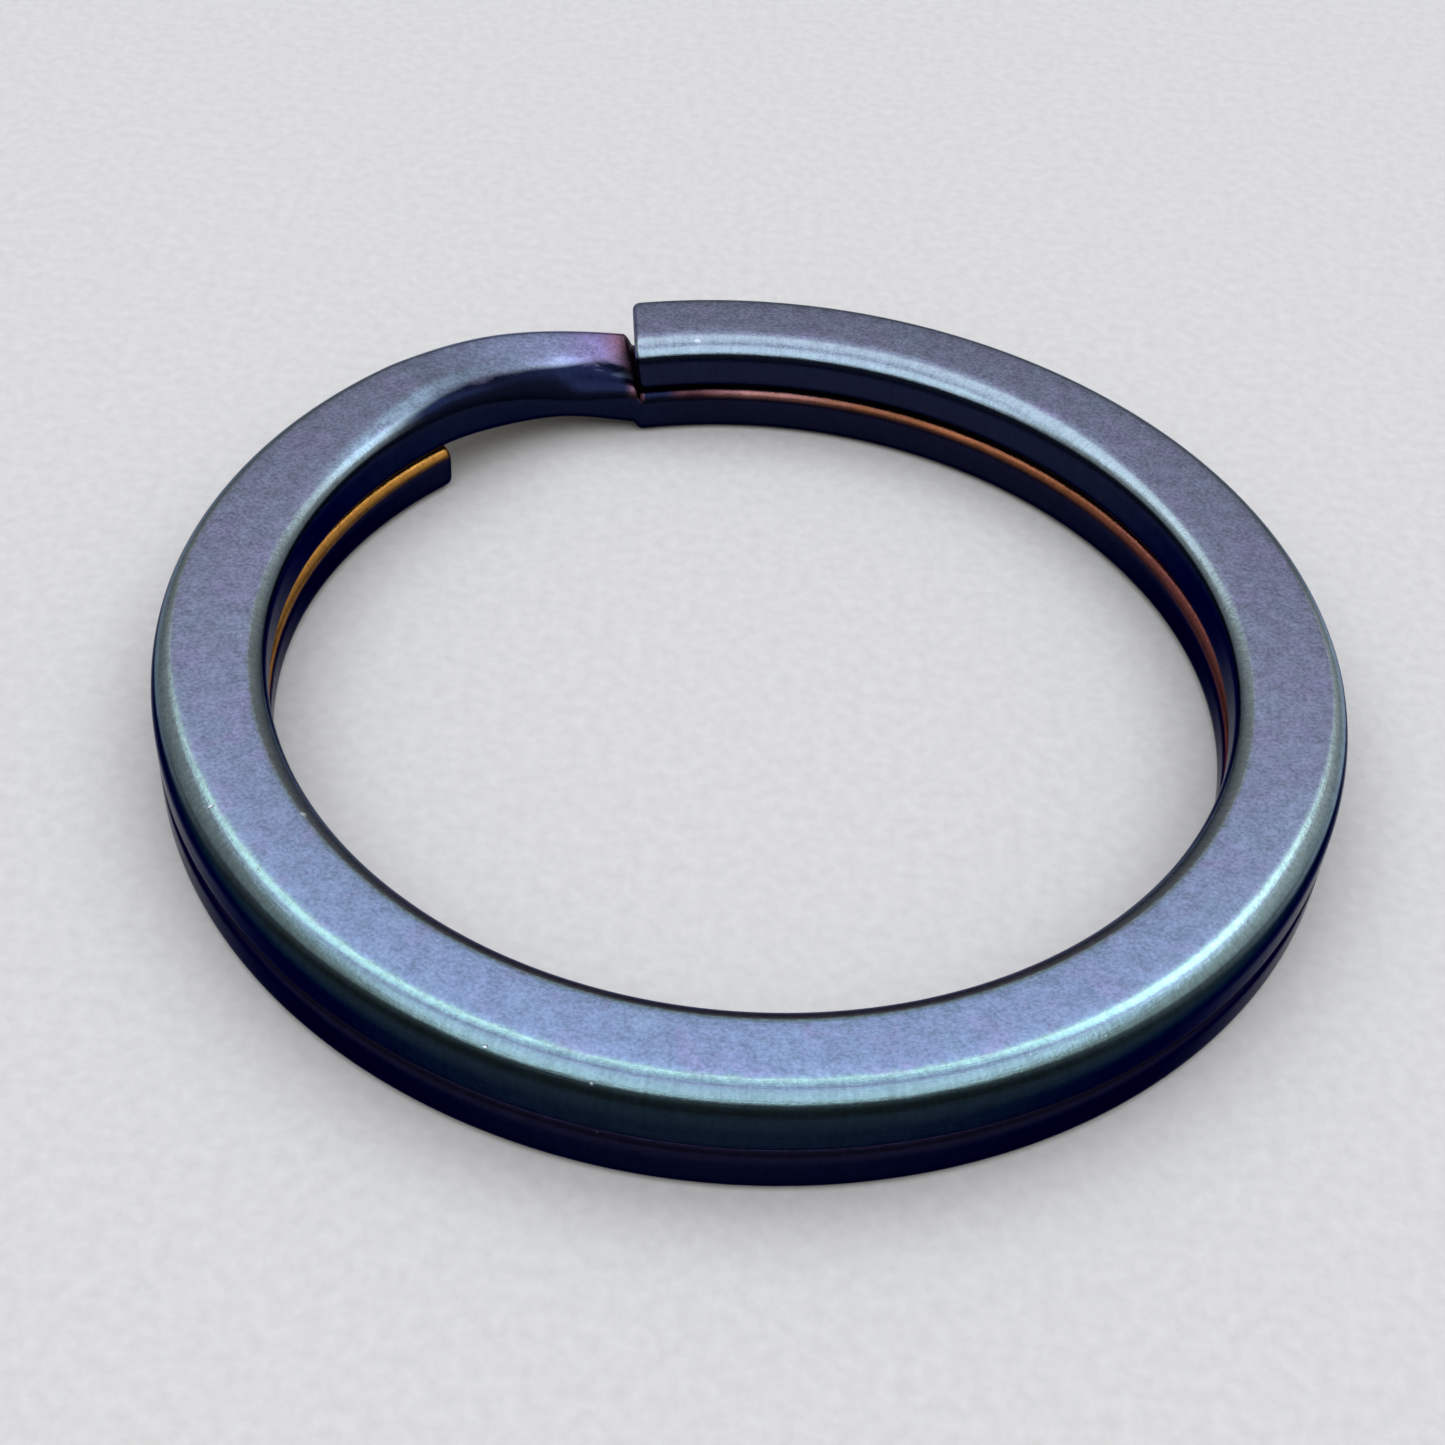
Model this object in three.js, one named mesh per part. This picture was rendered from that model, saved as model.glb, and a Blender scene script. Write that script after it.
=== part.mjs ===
// Flat-section split key ring, modelled in millimetres with +Z up.
//
// The real ring is one springy titanium strip, 3 mm wide, wound edge-on into almost two turns
// that lie flat on each other. The strip starts at the upper end, runs clockwise (seen from above)
// as the upper coil, steps down over the crossover, and runs on as the lower coil to the lower end.
// Prising a key on bends the last quarter turn at either end, so each of those quarter turns is a
// stretch of its own that hinges on the rest.
//
// Angles are polar angles in degrees about +Z from +X, unwrapped along the strip, so they fall
// steadily from the upper end to the lower end.
// The origin is the ring's centre, on the plane that the ring lies on.

import * as THREE from 'three';

// Driving dimensions
const OUTER_RADIUS = 16;
const STRIP_WIDTH = 3;
const UPPER_THICKNESS = 1.64;
const LOWER_THICKNESS = 1.52;
const COIL_GAP = 0.04;
const STRETCH_GAP = 0.05;

// Edge roundings of the strip's section
const OUTER_TOP_RADIUS = 0.75;
const INNER_TOP_RADIUS = 0.75;
const INNER_BOTTOM_RADIUS = 0.4;
const OUTER_BOTTOM_RADIUS = 0.2;

// The cut across the upper end is oblique and overhangs a little, and the crossover beside it is
// pressed to match
const UPPER_END = 107.8;
const LOWER_END = 137.3 - 720;
const END_SKEW = 9;
const SKEW_REACH = 25;
const END_OVERHANG = 0.2;
const OVERHANG_REACH = 12;

// The crossover: a long ramp, then a short step down just before it passes under the upper end
const RAMP_START = 138 - 360;
const STEP_START = 109 - 360;
const STEP_END = 107.6 - 360;
const RAMP_SHARE = 0.8;
const RAMP_POWER = 1.35;
const RAMP_ROLL = 6;
const RAMP_BULGE = 0.12;

// The stretches, in order along the strip: name, first angle, last angle, steps
const STRETCHES = [
  ['upper_end', UPPER_END, 15, 18],
  ['upper_coil', 15, -215, 46],
  ['crossover', -215, -260, 36],
  ['lower_coil', -260, -490, 46],
  ['lower_end', -490, LOWER_END, 18],
];

const MIDDLE_RADIUS = OUTER_RADIUS - STRIP_WIDTH / 2;
const MEAN_THICKNESS = (UPPER_THICKNESS + LOWER_THICKNESS) / 2;
const UPPER_FLOOR = LOWER_THICKNESS + COIL_GAP;
const UP = new THREE.Vector3(0, 0, 1);

const { clamp, degToRad, euclideanModulo, lerp, radToDeg, smoothstep } = THREE.MathUtils;

// How far down the ramp an angle is: 0 on the upper coil, 1 where the step ends.
function rampProgress(angle) {
  return clamp((RAMP_START - angle) / (RAMP_START - STEP_END), 0, 1);
}

// The share of the upper coil's height that the strip still has at an angle.
function heightShare(angle) {
  const ramp = 1 - RAMP_SHARE * rampProgress(angle) ** RAMP_POWER;
  return ramp * smoothstep(angle, STEP_END, STEP_START);
}

// The strip's centre line, bank and thickness at an angle.
function stripAt(angle) {
  const share = heightShare(angle);
  const swell = Math.sin(Math.PI * rampProgress(angle)) ** 2;
  const thickness = lerp(LOWER_THICKNESS, UPPER_THICKNESS, share);
  return {
    radius: MIDDLE_RADIUS + RAMP_BULGE * swell,
    height: UPPER_FLOOR * share + thickness / 2,
    roll: degToRad(RAMP_ROLL) * swell,
    thickness,
  };
}

// Sections near the upper end lean with its oblique cut, above it and below it.
function skewAt(angle) {
  const away = Math.abs(euclideanModulo(angle - UPPER_END + 180, 360) - 180);
  return degToRad(END_SKEW) * (1 - smoothstep(away, 0, SKEW_REACH));
}

// How far the top of a section runs ahead of its middle, as a share of its height.
function overhangAt(angle) {
  return END_OVERHANG * (1 - smoothstep(UPPER_END - angle, 0, OVERHANG_REACH));
}

// A run of the strip's centre line. Its frames keep the strip's flat level, apart from the bank.
class StripPath extends THREE.Curve {
  constructor(firstAngle, lastAngle) {
    super();
    this.firstAngle = firstAngle;
    this.lastAngle = lastAngle;
  }

  angleAt(t) {
    return lerp(this.firstAngle, this.lastAngle, t);
  }

  getPoint(t, target = new THREE.Vector3()) {
    const angle = this.angleAt(t);
    const turn = degToRad(angle);
    const { radius, height } = stripAt(angle);
    return target.set(radius * Math.cos(turn), radius * Math.sin(turn), height);
  }

  computeFrenetFrames(segments) {
    const frames = { tangents: [], normals: [], binormals: [] };
    for (let i = 0; i <= segments; i++) {
      const angle = this.angleAt(this.getUtoTmapping(i / segments));
      const { roll, thickness } = stripAt(angle);
      const skew = skewAt(angle);
      const outward = new THREE.Vector3(Math.cos(degToRad(angle)), Math.sin(degToRad(angle)), 0);
      const along = new THREE.Vector3().crossVectors(outward, UP);
      const across = outward.applyAxisAngle(UP, -skew).multiplyScalar(1 / Math.cos(skew));
      const upward = UP.clone().multiplyScalar(thickness / MEAN_THICKNESS);
      upward.addScaledVector(along, -overhangAt(angle));
      frames.tangents.push(along);
      frames.normals.push(across.applyAxisAngle(along, roll));
      frames.binormals.push(upward.applyAxisAngle(along, roll));
    }
    return frames;
  }
}

// The strip's section at its mean thickness: x runs outward from its middle, y runs up.
function stripSection() {
  const quarter = Math.PI / 2;
  const corners = [
    [1, -1, OUTER_BOTTOM_RADIUS],
    [1, 1, OUTER_TOP_RADIUS],
    [-1, 1, INNER_TOP_RADIUS],
    [-1, -1, INNER_BOTTOM_RADIUS],
  ];
  const section = new THREE.Shape();
  corners.forEach(([sideX, sideY, radius], i) => {
    const centreX = sideX * (STRIP_WIDTH / 2 - radius);
    const centreY = sideY * (MEAN_THICKNESS / 2 - radius);
    const start = (i - 1) * quarter;
    section.absarc(centreX, centreY, radius, start, start + quarter, false);
  });
  section.closePath();
  return section;
}

// Half the gap between neighbouring stretches is taken off each of their meeting faces.
function buildStretch([name, firstAngle, lastAngle, steps]) {
  const trim = radToDeg(STRETCH_GAP / 2 / MIDDLE_RADIUS);
  const first = firstAngle === UPPER_END ? firstAngle : firstAngle - trim;
  const last = lastAngle === LOWER_END ? lastAngle : lastAngle + trim;
  const geometry = new THREE.ExtrudeGeometry(stripSection(), {
    extrudePath: new StripPath(first, last),
    steps,
    curveSegments: 1,
    bevelEnabled: false,
  });
  const anodisedTitanium = new THREE.MeshStandardMaterial({
    color: 0x5c66b4,
    metalness: 1,
    roughness: 0.38,
  });
  const mesh = new THREE.Mesh(geometry, anodisedTitanium);
  mesh.name = name;
  return mesh;
}

const keyRing = new THREE.Group();
keyRing.name = 'split_key_ring';
STRETCHES.forEach((stretch) => keyRing.add(buildStretch(stretch)));

export default keyRing;
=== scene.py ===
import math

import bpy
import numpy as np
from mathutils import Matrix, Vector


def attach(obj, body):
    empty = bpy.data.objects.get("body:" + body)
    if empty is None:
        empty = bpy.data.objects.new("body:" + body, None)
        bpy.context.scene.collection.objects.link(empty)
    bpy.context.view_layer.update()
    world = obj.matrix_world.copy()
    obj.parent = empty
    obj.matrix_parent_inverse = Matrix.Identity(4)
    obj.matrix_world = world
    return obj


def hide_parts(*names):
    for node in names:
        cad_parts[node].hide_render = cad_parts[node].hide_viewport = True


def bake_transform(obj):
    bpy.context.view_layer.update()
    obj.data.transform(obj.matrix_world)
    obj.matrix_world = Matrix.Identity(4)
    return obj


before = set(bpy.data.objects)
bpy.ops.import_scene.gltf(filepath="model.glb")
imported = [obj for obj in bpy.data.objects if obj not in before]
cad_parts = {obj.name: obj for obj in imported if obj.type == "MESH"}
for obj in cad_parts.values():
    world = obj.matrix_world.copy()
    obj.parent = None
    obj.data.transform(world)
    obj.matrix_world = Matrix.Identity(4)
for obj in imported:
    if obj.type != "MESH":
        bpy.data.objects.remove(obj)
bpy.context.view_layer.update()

# Looks for the flat-section split key ring: one strip of anodised titanium, wound edge-on into
# almost two turns. Angles are polar angles in degrees about +Z from +X, unwrapped along the strip,
# so they fall steadily from the upper end to the lower end. Lengths are in millimetres, and MM
# turns them into metres.

MM = 0.001

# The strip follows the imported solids. To match the photo it departs from them by up to 0.25 mm: in
# the upper end's cut, in the wear of the edges, and in the crossover's lean, bank and inner edge.
OUTER_RADIUS = 16
STRIP_WIDTH = 3
MIDDLE_RADIUS = OUTER_RADIUS - STRIP_WIDTH / 2
UPPER_THICKNESS = 1.64
LOWER_THICKNESS = 1.52
COIL_GAP = 0.04
UPPER_FLOOR = LOWER_THICKNESS + COIL_GAP
UPPER_END = 108.1
LOWER_END = 137.3 - 720
UPPER_HINGE = 15
LOWER_HINGE = -490
END_SKEW = 11
CROSSING_SKEW = 5
SKEW_REACH = 25
END_OVERHANG = 0.15
OVERHANG_REACH = 12

# The crossover
RAMP_START = 138 - 360
STEP_START = 109 - 360
STEP_END = 107.6 - 360
RAMP_SHARE = 0.8
RAMP_POWER = 1.35
RAMP_ROLL = 6
RAMP_BULGE = 0.12
CROWN_START, CROWN_FULL = 0.2, 0.8
CROWN_FADE_START, CROWN_FADE_END = 120 - 360, 107.8 - 360
CROWN_RADII = (1.75, 1.0)
CROWN_POWER = 1.75
CROWN_PINCH = 0.15

# (across, upward) corner radii: outer bottom, outer top, inner top, inner bottom
BACK_CORNERS = ((0.12, 0.12), (0.60, 0.60), (0.92, 0.68), (0.40, 0.40))
SIDE_CORNERS = ((0.12, 0.12), (0.50, 0.50), (0.52, 0.48), (0.40, 0.40))
FRONT_CORNERS = ((0.12, 0.12), (1.00, 0.90), (0.64, 0.60), (0.40, 0.40))
LOWER_CORNERS = ((0.35, 0.35), (0.45, 0.45), (0.50, 0.50), (0.45, 0.45))
CORNER_SIDES = ((1, -1), (1, 1), (-1, 1), (-1, -1))
END_ROUNDING = 0.22

# Mesh density. A plain section stands SUPPORT away from an unrounded end, to keep its shading flat.
STEP = 0.6
FINE_STEP = 0.15
CORNER_STEPS = 9
FLAT_STEPS = 4
END_STEPS = 5
SUPPORT = 0.003
MIN_RADIUS = 0.02

# Camera, floor and lights, in metres and degrees. The sensor and lens are in millimetres.
CAMERA_DISTANCE = 0.064515
CAMERA_ELEVATION = 43.457
CAMERA_YAW, CAMERA_PITCH, CAMERA_ROLL = 0.596, -0.338, -4.9375
CAMERA_SENSOR, CAMERA_LENS = 36, 57.55
PANEL_HEIGHT = 0.30
PANEL_WIDTH = 0.56
PANEL_GAP = 0.020
PANEL_BACK, PANEL_FRONT = 0.27, 0.31
PANEL_RADIANCE = 1.45
PANEL_COLOUR = (0.93, 0.98, 1.0)
FLOOR_HALF = 1.5

# The studio's light by the height share of its direction
STUDIO_LIGHT = [
    (0.25, (0.30, 0.29, 0.28)),
    (0.50, (0.56, 0.53, 0.48)),
    (0.66, (0.60, 0.57, 0.53)),
    (0.80, (0.80, 0.86, 0.95)),
    (0.98, (0.42, 0.36, 0.62)),
]

# Oxide colours by how far the surface faces up: 0 on a wall, 1 on a flat. They hold painted light:
# the bright cyan band high on the front's shoulders and the pale band on the back's shoulders are
# painted highlights, and the front and back sets differ because light falls on them differently.
NEAR_OXIDE_AND_PAINTED_LIGHT = [
    (0.00, (0.011, 0.018, 0.032)),
    (0.30, (0.010, 0.020, 0.034)),
    (0.62, (0.014, 0.026, 0.034)),
    (0.71, (0.034, 0.060, 0.075)),
    (0.75, (0.150, 0.240, 0.270)),
    (0.90, (0.155, 0.240, 0.285)),
    (0.93, (0.145, 0.200, 0.275)),
    (0.955, (0.210, 0.360, 0.380)),
    (0.980, (0.280, 0.470, 0.430)),
    (0.993, (0.160, 0.225, 0.345)),
    (1.00, (0.160, 0.215, 0.345)),
]
FAR_OXIDE_AND_PAINTED_LIGHT = [
    (0.00, (0.011, 0.014, 0.036)),
    (0.30, (0.008, 0.011, 0.036)),
    (0.56, (0.010, 0.016, 0.028)),
    (0.65, (0.190, 0.255, 0.315)),
    (0.82, (0.235, 0.305, 0.350)),
    (0.97, (0.220, 0.275, 0.310)),
    (0.99, (0.185, 0.205, 0.290)),
    (1.00, (0.185, 0.203, 0.300)),
]
LOWER_OXIDE = [
    (0.00, (0.008, 0.010, 0.028)),
    (0.25, (0.008, 0.008, 0.026)),
    (1.00, (0.012, 0.010, 0.030)),
]

# Oxide colours along stretches of the strip, given by how far they are from the upper end. The lip's
# also hold painted light.
BRONZE_REACH = (90, 176)
BRONZE_OXIDE = [
    (0.00, (0.012, 0.004, 0.010)),
    (0.03, (0.070, 0.030, 0.035)),
    (0.07, (0.240, 0.115, 0.115)),
    (0.12, (0.130, 0.050, 0.025)),
    (0.19, (0.240, 0.090, 0.045)),
    (0.26, (0.190, 0.065, 0.065)),
    (0.34, (0.180, 0.060, 0.050)),
    (0.65, (0.360, 0.150, 0.050)),
    (1.00, (0.600, 0.300, 0.070)),
]
LIP_REACH = (84, 91.5)
# The lip's colours are partly oxide and partly painted highlight, with painted shade at its dark
# brown end, in the crevice under the upper end
LIP_OXIDE_AND_PAINTED_LIGHT = [
    (0.00, (0.260, 0.340, 0.500)),
    (0.62, (0.280, 0.320, 0.540)),
    (0.80, (0.330, 0.290, 0.620)),
    (0.89, (0.400, 0.215, 0.350)),
    (0.94, (0.160, 0.085, 0.075)),
    (1.00, (0.050, 0.026, 0.018)),
]
# Painted shade on the front of the inner shoulder
INNER_FRONT_PAINTED_SHADE = (0.075, 0.070, 0.100)
# Painted highlight on the outer shoulder, where the sides turn into the front
PAINTED_HIGHLIGHT_BY = (2.05, 2.10, 2.10)
# Painted highlight along the crossover's top
RIDGE_PAINTED_HIGHLIGHT = (0.330, 0.470, 0.620)
# Painted shade where the crossover's top tilts away from the light
NAVY_PAINTED_SHADE = (0.007, 0.010, 0.030)
STEP_OXIDE = (0.170, 0.085, 0.110)
VIOLET_PATCH = (0.210, 0.190, 0.340)
PALE_PATCH = (0.190, 0.260, 0.360)
BARE_METAL = (0.42, 0.46, 0.52)
SHADOWED, LIT = (0.5, 0.5, 0.5), (1.5, 1.5, 1.5)
SHOULDER_ROUGHNESS, FLAT_ROUGHNESS = 0.13, 0.32


def smoothstep(value, low, high):
    t = min(max((value - low) / (high - low), 0), 1)
    return t * t * (3 - 2 * t)


def mix(a, b, share):
    return a + (b - a) * share


def ramp_progress(angle):
    """How far down the ramp an angle is: 0 on the upper coil, 1 where the step ends."""
    return min(max((RAMP_START - angle) / (RAMP_START - STEP_END), 0), 1)


def height_share(angle):
    """The share of the upper coil's height that the strip still has at an angle."""
    ramp = 1 - RAMP_SHARE * ramp_progress(angle) ** RAMP_POWER
    return ramp * smoothstep(angle, STEP_END, STEP_START)


def skew_at(angle):
    """Sections near the upper end lean with its oblique cut."""
    away = abs((angle - UPPER_END + 180) % 360 - 180)
    full = END_SKEW if angle > 0 else CROSSING_SKEW
    return math.radians(full) * (1 - smoothstep(away, 0, SKEW_REACH))


def crown_at(angle):
    """How far the crossover's inner shoulder is pressed down and rounded, from 0 to 1."""
    crown = smoothstep(ramp_progress(angle), CROWN_START, CROWN_FULL)
    return crown * smoothstep(angle, CROWN_FADE_END, CROWN_FADE_START)


def corner_radii(angle, share, crown):
    """(across, upward) radii of the four corners. Tumbling has worn the ring unevenly."""
    away = math.sin(math.radians(angle))
    upper = mix(np.array(SIDE_CORNERS), np.array(BACK_CORNERS), smoothstep(away, 0.45, 0.97))
    upper = mix(upper, np.array(FRONT_CORNERS), smoothstep(-away, -0.1, 0.6))
    radii = mix(np.array(LOWER_CORNERS), upper, share)
    radii[2] = mix(radii[2], np.array(CROWN_RADII), crown)
    return radii


def section(angle, inset):
    """Points round the strip's section as rows of x outward, y up and the outward direction."""
    share = height_share(angle)
    half_width = STRIP_WIDTH / 2 - inset
    half_height = mix(LOWER_THICKNESS, UPPER_THICKNESS, share) / 2 - inset
    crown = crown_at(angle)
    all_radii = corner_radii(angle, share, crown)
    arcs = []
    for i, ((side_x, side_y), radii) in enumerate(zip(CORNER_SIDES, all_radii)):
        across, upward = (max(radius - inset, MIN_RADIUS) for radius in radii)
        power = mix(2, CROWN_POWER, crown) if i == 2 else 2
        wall = half_width - (CROWN_PINCH * crown if side_x < 0 else 0)
        turn = np.linspace(i - 1, i, CORNER_STEPS + 1) * math.pi / 2
        cos, sin = np.cos(turn).round(9), np.sin(turn).round(9)
        reach_x, reach_y = (np.sign(c) * abs(c) ** (2 / power) for c in (cos, sin))
        lean_x, lean_y = (np.sign(c) * abs(c) ** (2 - 2 / power) for c in (cos, sin))
        facing = np.stack([lean_x / across, lean_y / upward], 1)
        facing /= np.linalg.norm(facing, axis=1, keepdims=True)
        centre = (side_x * (wall - across), side_y * (half_height - upward))
        place = np.stack([centre[0] + across * reach_x, centre[1] + upward * reach_y], 1)
        arcs.append(np.hstack([place, facing]))
    rows = []
    for arc, following in zip(arcs, arcs[1:] + arcs[:1]):
        rows.append(arc)
        between = np.linspace(0, 1, FLAT_STEPS + 1)[1:-1, None]
        flat = mix(arc[-1], following[0], between)
        flat[:, 2:] = arc[-1, 2:]
        rows.append(flat)
    return np.vstack(rows)


def ring(angle, inset):
    """The section's points in place, and each one's strip coordinates and direction."""
    share = height_share(angle)
    swell = math.sin(math.pi * ramp_progress(angle)) ** 2
    thickness = mix(LOWER_THICKNESS, UPPER_THICKNESS, share)
    radius = MIDDLE_RADIUS + RAMP_BULGE * swell
    turn = math.radians(angle)
    skew = skew_at(angle)
    outward = Vector((math.cos(turn), math.sin(turn), 0))
    along = outward.cross(Vector((0, 0, 1)))
    # The bank grows down the ramp's first half, then holds until the strip is too low for it
    held = 1 if ramp_progress(angle) > 0.5 else swell
    touching = math.asin(min(1, UPPER_FLOOR * share / (STRIP_WIDTH / 2)))
    roll = min(math.radians(RAMP_ROLL) * held, 0.9 * touching)
    bank = Matrix.Rotation(roll, 3, along)
    lean = Matrix.Rotation(-skew, 3, "Z")
    across = np.array(bank @ (lean @ outward / math.cos(skew)))
    overhang = END_OVERHANG * (1 - smoothstep(UPPER_END - angle, 0, OVERHANG_REACH))
    upward = np.array(bank @ (Vector((0, 0, 1)) - along * overhang))
    centre = np.array(outward * radius + Vector((0, 0, UPPER_FLOOR * share + thickness / 2)))
    rows = section(angle, inset)
    points = centre + rows[:, :1] * across + rows[:, 1:2] * upward
    travelled = math.radians(UPPER_END - angle) * MIDDLE_RADIUS
    strip = np.column_stack([np.full(len(rows), travelled), rows[:, 0], rows[:, 1]])
    facing = np.column_stack([rows[:, 2:], np.full(len(rows), share)])
    return points, strip, facing


def stations(first, last, round_first, round_last):
    """(angle, inset) of each section from first down to last, with the free ends rounded over."""
    def rounding(end, sign):
        for k in range(END_STEPS, 0, -1):
            phi = math.pi / 2 * k / END_STEPS
            back = math.degrees(END_ROUNDING * (1 - math.sin(phi)) / MIDDLE_RADIUS)
            yield end + sign * back, END_ROUNDING * (1 - math.cos(phi))

    reach = math.degrees(END_ROUNDING / MIDDLE_RADIUS)
    start = first - reach if round_first else first
    stop = last + reach if round_last else last
    breaks = [start, STEP_START + 2, STEP_END - 1, stop]
    breaks = [b for b in breaks if stop <= b <= start]
    middle = [start]
    for high, low in zip(breaks, breaks[1:]):
        fine = STEP_END - 1 <= low and high <= STEP_START + 2
        count = max(1, math.ceil((high - low) / (FINE_STEP if fine else STEP)))
        middle += [mix(high, low, (k + 1) / count) for k in range(count)]
    support = math.degrees(SUPPORT / MIDDLE_RADIUS)
    if not round_first:
        middle.insert(1, start - support)
    if not round_last:
        middle.insert(-1, stop + support)
    rings = [(angle, 0) for angle in middle]
    if round_first:
        rings = list(rounding(first, -1)) + rings
    if round_last:
        rings += list(rounding(last, 1))[::-1]
    return rings


def build_stretch(name, first, last, round_first=False, round_last=False):
    """A closed run of the strip from angle first to angle last."""
    rings = [ring(angle, inset) for angle, inset in stations(first, last, round_first, round_last)]
    size = len(rings[0][0])
    points, strip, facing = (np.vstack([r[k] for r in rings]) for k in range(3))
    faces = []
    for i in range(len(rings) - 1):
        for j in range(size):
            k = (j + 1) % size
            faces.append((i * size + j, i * size + k, (i + 1) * size + k, (i + 1) * size + j))
    sides = len(faces)
    faces.append(tuple(range(size))[::-1])
    faces.append(tuple(range(size * (len(rings) - 1), size * len(rings))))
    mesh = bpy.data.meshes.new(name)
    mesh.from_pydata((points * MM).tolist(), [], faces)
    mesh.polygons.foreach_set("use_smooth", [i < sides for i in range(len(faces))])
    for label, rows in (("strip", strip), ("facing", facing)):
        attribute = mesh.attributes.new(label, "FLOAT_VECTOR", "POINT")
        attribute.data.foreach_set("vector", rows.astype(np.float32).ravel())
    mesh.update()
    piece = bpy.data.objects.new(name, mesh)
    bpy.context.scene.collection.objects.link(piece)
    return piece


def fill_ramp(ramp, stops):
    """Gives a colour ramp its stops, which are (place, colour) in rising order."""
    for place, _ in stops[2:]:
        ramp.elements.new(place)
    for element, (place, colour) in zip(ramp.elements, stops):
        element.position = place
        element.color = (*colour, 1)


class Nodes:
    """Short calls for building one material's node tree."""

    def __init__(self, name):
        self.material = bpy.data.materials.new(name)
        self.material.use_nodes = True
        self.tree = self.material.node_tree
        self.shader = next(n for n in self.tree.nodes if n.type == "BSDF_PRINCIPLED")

    def add(self, kind, inputs=None, **settings):
        node = self.tree.nodes.new(kind)
        for key, value in settings.items():
            setattr(node, key, value)
        for key, value in (inputs or {}).items():
            self.put(node.inputs[key], value)
        return node

    def put(self, socket, value):
        if isinstance(value, bpy.types.NodeSocket):
            self.tree.links.new(value, socket)
        else:
            socket.default_value = value

    def math(self, operation, *values):
        inputs = dict(enumerate(values))
        return self.add("ShaderNodeMath", inputs, operation=operation).outputs[0]

    def product(self, *values):
        result = values[0]
        for value in values[1:]:
            result = self.math("MULTIPLY", result, value)
        return result

    def rest_of(self, share):
        return self.math("SUBTRACT", 1, share)

    def attribute(self, name):
        return self.add("ShaderNodeAttribute", attribute_name=name).outputs["Vector"]

    def parts(self, vector):
        return self.add("ShaderNodeSeparateXYZ", {0: vector}).outputs[:]

    def scaled(self, vector, factors):
        inputs = {0: vector, 1: factors}
        return self.add("ShaderNodeVectorMath", inputs, operation="MULTIPLY").outputs[0]

    def noise(self, vector, scale, detail=3, roughness=0.55, distortion=0):
        inputs = {"Vector": vector, "Scale": scale, "Detail": detail, "Roughness": roughness,
                  "Distortion": distortion}
        return self.add("ShaderNodeTexNoise", inputs).outputs["Fac"]

    def span(self, value, low, high, to_low=0, to_high=1, smooth=True):
        kind = "SMOOTHSTEP" if smooth else "LINEAR"
        return self.add("ShaderNodeMapRange", {0: value, 1: low, 2: high, 3: to_low, 4: to_high},
                        interpolation_type=kind).outputs[0]

    def ramp(self, value, stops):
        node = self.add("ShaderNodeValToRGB", {0: value})
        fill_ramp(node.color_ramp, stops)
        return node.outputs["Color"]

    def blend(self, share, a, b, mode="MIX"):
        node = self.add("ShaderNodeMix", data_type="RGBA", blend_type=mode)
        sockets = [s for s in node.inputs if s.enabled]
        for socket, value in zip(sockets, (share, a, b)):
            self.put(socket, (*value, 1) if isinstance(value, tuple) else value)
        return next(s for s in node.outputs if s.enabled)


def upper_oxide(n, side, rise, medium, in_mm):
    """The upper coil: violet-blue flats, cyan-grey shoulders and navy walls, and painted highlights
    and shade.
    """
    x, y, _ = n.parts(in_mm)
    uneven = n.math("MULTIPLY", n.math("SUBTRACT", medium, 0.5), 0.016)
    tinted_rise = n.math("ADD", rise, uneven)
    # The front of the inner shoulder is darker: painted shade, where it tilts away from the light
    inner_front_shade = n.product(n.span(side, -0.03, -0.3), n.span(rise, 0.5, 0.7))
    near = n.blend(inner_front_shade, n.ramp(tinted_rise, NEAR_OXIDE_AND_PAINTED_LIGHT), INNER_FRONT_PAINTED_SHADE)
    # Painted light: the front and the back take different colour sets, since light falls on them
    # differently
    colour = n.blend(n.span(y, -15, 1), near, n.ramp(tinted_rise, FAR_OXIDE_AND_PAINTED_LIGHT))
    # A painted highlight makes the outer shoulder paler where the ring's sides turn into its front
    outer = n.product(n.span(side, 0.05, 0.3), n.span(rise, 0.5, 0.65), n.span(y, 6, 1))
    painted_highlight_share = n.math("ADD", n.span(x, 5, 14, 0, 0.9), n.span(x, -12, -15, 0, 0.15))
    return n.blend(n.product(outer, painted_highlight_share), colour, PAINTED_HIGHLIGHT_BY, "MULTIPLY")


def lower_oxide(n, strip, side, rise):
    """The lower coil: navy, with an inner shoulder that is bronze, redder near the step."""
    travelled = n.parts(strip)[0]
    patchy = n.noise(n.scaled(strip, (0.5, 0.8, 0.8)), 1, 2)
    drift = n.math("MULTIPLY", n.math("SUBTRACT", patchy, 0.5), 9)
    place = n.span(n.math("ADD", travelled, drift), *BRONZE_REACH, smooth=False)
    bronzed = n.product(n.span(rise, 0.30, 0.62), n.span(side, 0, -0.1))
    return n.blend(bronzed, n.ramp(rise, LOWER_OXIDE), n.ramp(place, BRONZE_OXIDE))


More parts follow.
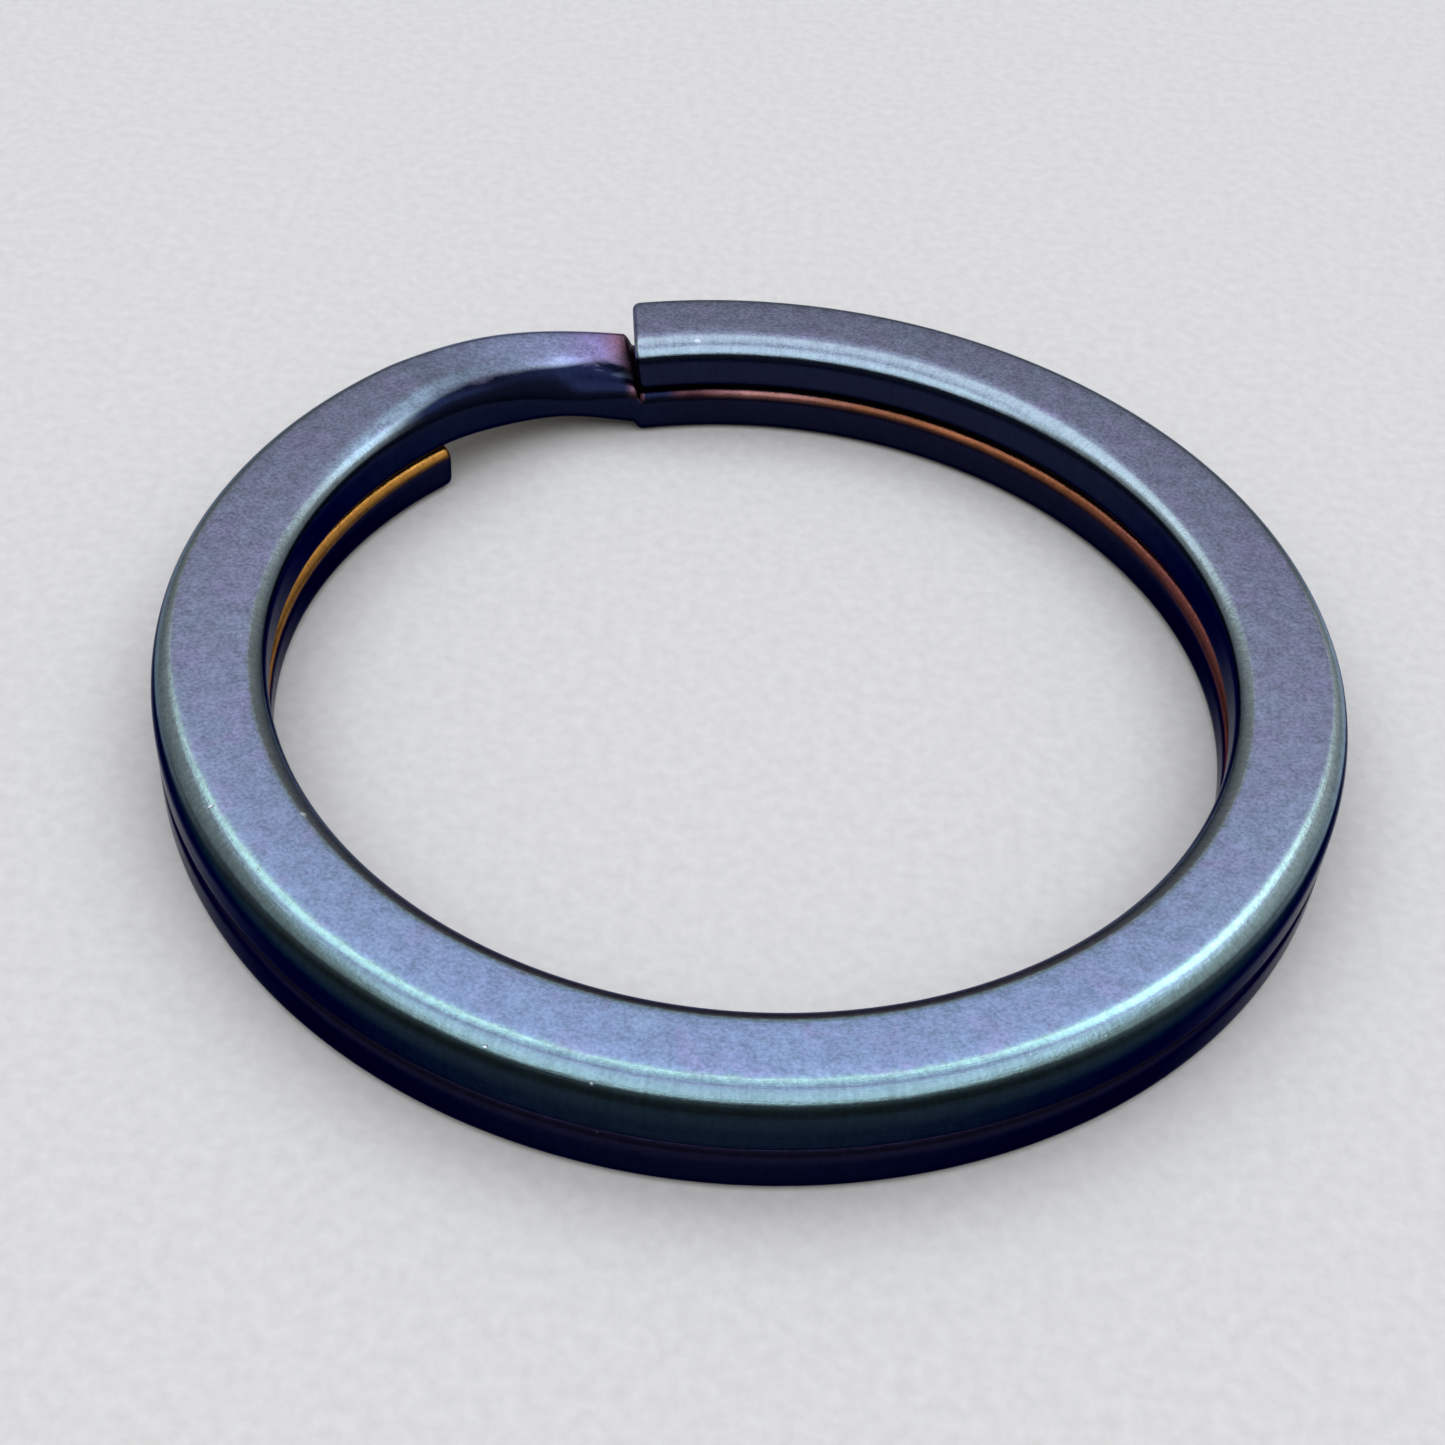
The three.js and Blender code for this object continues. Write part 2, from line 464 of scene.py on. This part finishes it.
def crossover_oxide(n, colour, travelled, across, rise):
    """The crossover over a colour. A painted navy shade climbs from the inner wall to the middle of
    the top, under a painted highlight line. The shoulder left turns violet, then pink before the
    step, and
    brown down it: these colours are partly oxide and partly painted highlight, and the brown is
    partly painted shade in the crevice under the upper end."""
    line = n.span(travelled, 80, 90.0, -1.35, -0.15, smooth=False)
    line = n.math("SUBTRACT", line, n.span(travelled, 90.0, 91.2, 0, 0.35))
    # A painted highlight runs as a bright line along the crossover's top
    from_ridge_highlight = n.math("ABSOLUTE", n.math("SUBTRACT", across, n.math("ADD", line, 0.32)))
    ridge_highlight = n.product(n.span(from_ridge_highlight, 0.42, 0.05), n.span(travelled, 77, 81, 0, 0.8),
                      n.span(travelled, 90, 86), n.span(rise, 0.5, 0.7))
    colour = n.blend(ridge_highlight, colour, RIDGE_PAINTED_HIGHLIGHT)
    # Painted shade: navy below the line, where the banked top tilts away from the light
    below = n.span(n.math("SUBTRACT", across, line), 0.15, -0.20)
    navy = n.product(n.span(travelled, 79, 83), n.span(travelled, 92.6, 91.9), below)
    colour = n.blend(navy, colour, NAVY_PAINTED_SHADE)
    # Over the top, the lip's colours: oxide with painted highlight, and painted shade at the end
    above = n.product(n.span(travelled, 82, 88), n.span(travelled, 91.3, 91.2),
                      n.span(rise, 0.10, 0.40), n.rest_of(below))
    colour = n.blend(above, colour, n.ramp(n.span(travelled, *LIP_REACH, smooth=False), LIP_OXIDE_AND_PAINTED_LIGHT))
    step = n.product(n.span(travelled, 90.5, 91.0), n.span(travelled, 91.26, 91.18),
                     n.span(rise, 0.3, 0.6, 0, 0.75))
    return n.blend(step, colour, STEP_OXIDE)


def ring_material():
    n = Nodes("anodised_titanium")
    strip = n.attribute("strip")
    travelled, across, _ = n.parts(strip)
    side, rise, share = n.parts(n.attribute("facing"))
    own = n.add("ShaderNodeTexCoord").outputs["Object"]
    in_mm = n.scaled(own, (1 / MM, 1 / MM, 1 / MM))

    # Mottle of the tumbled, oxidised surface, at two sizes
    fine = n.noise(in_mm, 9, 4, 0.7)
    medium = n.noise(in_mm, 2.2, 3)

    lower = lower_oxide(n, strip, side, rise)
    upper = upper_oxide(n, side, rise, medium, in_mm)
    colour = n.blend(n.span(share, 0.0, 0.15), lower, upper)
    colour = crossover_oxide(n, colour, travelled, across, rise)

    # Cloudy patches of violet and of pale blue on the flats
    flat = n.span(rise, 0.95, 0.995)
    clouds = n.noise(in_mm, 0.9, 3, 0.6, 0.4)
    colour = n.blend(n.product(n.span(clouds, 0.50, 0.68, 0, 0.40), flat), colour, VIOLET_PATCH)
    colour = n.blend(n.product(n.span(clouds, 0.48, 0.32, 0, 0.30), flat), colour, PALE_PATCH)

    # The mottle, and faint marks that run across the shoulders
    mottle = n.math("ADD", n.span(fine, 0.25, 0.75, -0.27, 0.27),
                    n.span(medium, 0.3, 0.7, -0.12, 0.12))
    mottle = n.product(mottle, n.math("ADD", 0.5, n.product(flat, 0.5)))
    marks = n.span(n.noise(n.scaled(strip, (11, 0.5, 0.5)), 1, 2), 0.3, 0.7, -0.06, 0.06)
    shade = n.math("ADD", mottle, n.product(marks, n.rest_of(flat)))
    shade = n.blend(n.math("ADD", 0.5, shade), SHADOWED, LIT)
    colour = n.blend(1.0, colour, shade, "MULTIPLY")

    # Small nicks in the shoulders show paler metal
    nicked = n.product(n.span(n.noise(in_mm, 2.6, 1, 0.5), 0.765, 0.80),
                       n.span(rise, 0.65, 0.8), n.span(rise, 0.9999, 0.995))
    n.put(n.shader.inputs["Base Color"], n.blend(nicked, colour, BARE_METAL))
    n.shader.inputs["Metallic"].default_value = 1
    n.shader.inputs["Specular Tint"].default_value = (0.35, 0.36, 0.45, 1)

    rough = n.span(flat, 0, 1, SHOULDER_ROUGHNESS, FLAT_ROUGHNESS)
    rough = n.math("ADD", rough, n.span(fine, 0.2, 0.8, -0.04, 0.06))
    n.put(n.shader.inputs["Roughness"], rough)

    scratches = n.noise(n.scaled(strip, (0.6, 9, 9)), 2.5, 4, 0.65)
    height = n.math("ADD", n.product(fine, 0.5), n.product(scratches, 0.35))
    height = n.math("SUBTRACT", height, nicked)
    bump = n.add("ShaderNodeBump", {"Strength": 0.22, "Distance": 0.00006, "Height": height})
    n.put(n.shader.inputs["Normal"], bump.outputs[0])
    return n.material


def floor_material():
    n = Nodes("pale_floor")
    own = n.add("ShaderNodeTexCoord").outputs["Object"]
    grain = n.noise(own, 2500, 3)
    paper = n.ramp(grain, [(0.3, (0.56, 0.55, 0.53)), (0.7, (0.62, 0.61, 0.59))])
    n.put(n.shader.inputs["Base Color"], paper)
    n.shader.inputs["Roughness"].default_value = 0.9
    n.shader.inputs["Specular IOR Level"].default_value = 0.2
    return n.material


def add_floor():
    mesh = bpy.data.meshes.new("floor")
    corners = ((-1, -1), (1, -1), (1, 1), (-1, 1))
    mesh.from_pydata([(x * FLOOR_HALF, y * FLOOR_HALF, 0) for x, y in corners], [], [(0, 1, 2, 3)])
    floor = bpy.data.objects.new("floor", mesh)
    mesh.materials.append(floor_material())
    bpy.context.scene.collection.objects.link(floor)


def add_panel(name, first_y, last_y):
    """A soft panel overhead, facing down, between two places along Y."""
    light = bpy.data.lights.new(name, "AREA")
    light.shape = "RECTANGLE"
    light.size, light.size_y = PANEL_WIDTH, last_y - first_y
    light.energy = PANEL_RADIANCE * light.size * light.size_y * math.pi
    light.color = PANEL_COLOUR
    panel = bpy.data.objects.new(name, light)
    panel.location = (0, (first_y + last_y) / 2, PANEL_HEIGHT)
    bpy.context.scene.collection.objects.link(panel)


def add_lights():
    # The ring's shoulders mirror the gap between the panels as a fine line
    add_panel("back_panel", PANEL_GAP, PANEL_BACK)
    add_panel("front_panel", -PANEL_FRONT, -PANEL_GAP)

    world = bpy.data.worlds.new("studio")
    bpy.context.scene.world = world
    world.use_nodes = True
    tree = world.node_tree
    background = next(node for node in tree.nodes if node.type == "BACKGROUND")
    coordinates = tree.nodes.new("ShaderNodeTexCoord")
    split = tree.nodes.new("ShaderNodeSeparateXYZ")
    ramp = tree.nodes.new("ShaderNodeValToRGB")
    tree.links.new(coordinates.outputs["Generated"], split.inputs[0])
    tree.links.new(split.outputs["Z"], ramp.inputs[0])
    tree.links.new(ramp.outputs[0], background.inputs["Color"])
    fill_ramp(ramp.color_ramp, STUDIO_LIGHT)


def add_camera():
    """The camera stands on the -Y side, looks at the ring's centre and is turned slightly."""
    elevation = math.radians(CAMERA_ELEVATION)
    yaw, pitch, roll = (math.radians(a) for a in (CAMERA_YAW, CAMERA_PITCH, CAMERA_ROLL))
    place = Vector((0, -math.cos(elevation), math.sin(elevation))) * CAMERA_DISTANCE
    forward = -place.normalized()
    right = Vector((1, 0, 0))
    up = right.cross(forward)
    turn = Matrix.Rotation(yaw, 3, up)
    forward, right = turn @ forward, turn @ right
    turn = Matrix.Rotation(pitch, 3, right)
    forward, up = turn @ forward, turn @ up
    turn = Matrix.Rotation(roll, 3, forward)
    right, up = turn @ right, turn @ up
    data = bpy.data.cameras.new("camera")
    data.sensor_width = CAMERA_SENSOR
    data.lens = CAMERA_LENS
    data.clip_start = 0.001
    camera = bpy.data.objects.new("camera", data)
    columns = Matrix((right, up, -forward)).transposed()
    camera.matrix_world = Matrix.Translation(place) @ columns.to_4x4()
    bpy.context.scene.collection.objects.link(camera)
    bpy.context.scene.camera = camera


def add_ring():
    middle = build_stretch("ring_strip", UPPER_HINGE, LOWER_HINGE)
    upper = build_stretch("upper_end_strip", UPPER_END, UPPER_HINGE, round_first=True)
    lower = build_stretch("lower_end_strip", LOWER_HINGE, LOWER_END, round_last=True)
    metal = ring_material()
    for piece in (middle, upper, lower):
        piece.data.materials.append(metal)
    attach(middle, "ring_body")
    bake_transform(upper)
    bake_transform(lower)
    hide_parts("upper_coil", "crossover", "lower_coil")
    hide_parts("upper_end")
    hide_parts("lower_end")


add_camera()
add_ring()
add_floor()
add_lights()
bpy.context.scene.view_settings.view_transform = "Standard"
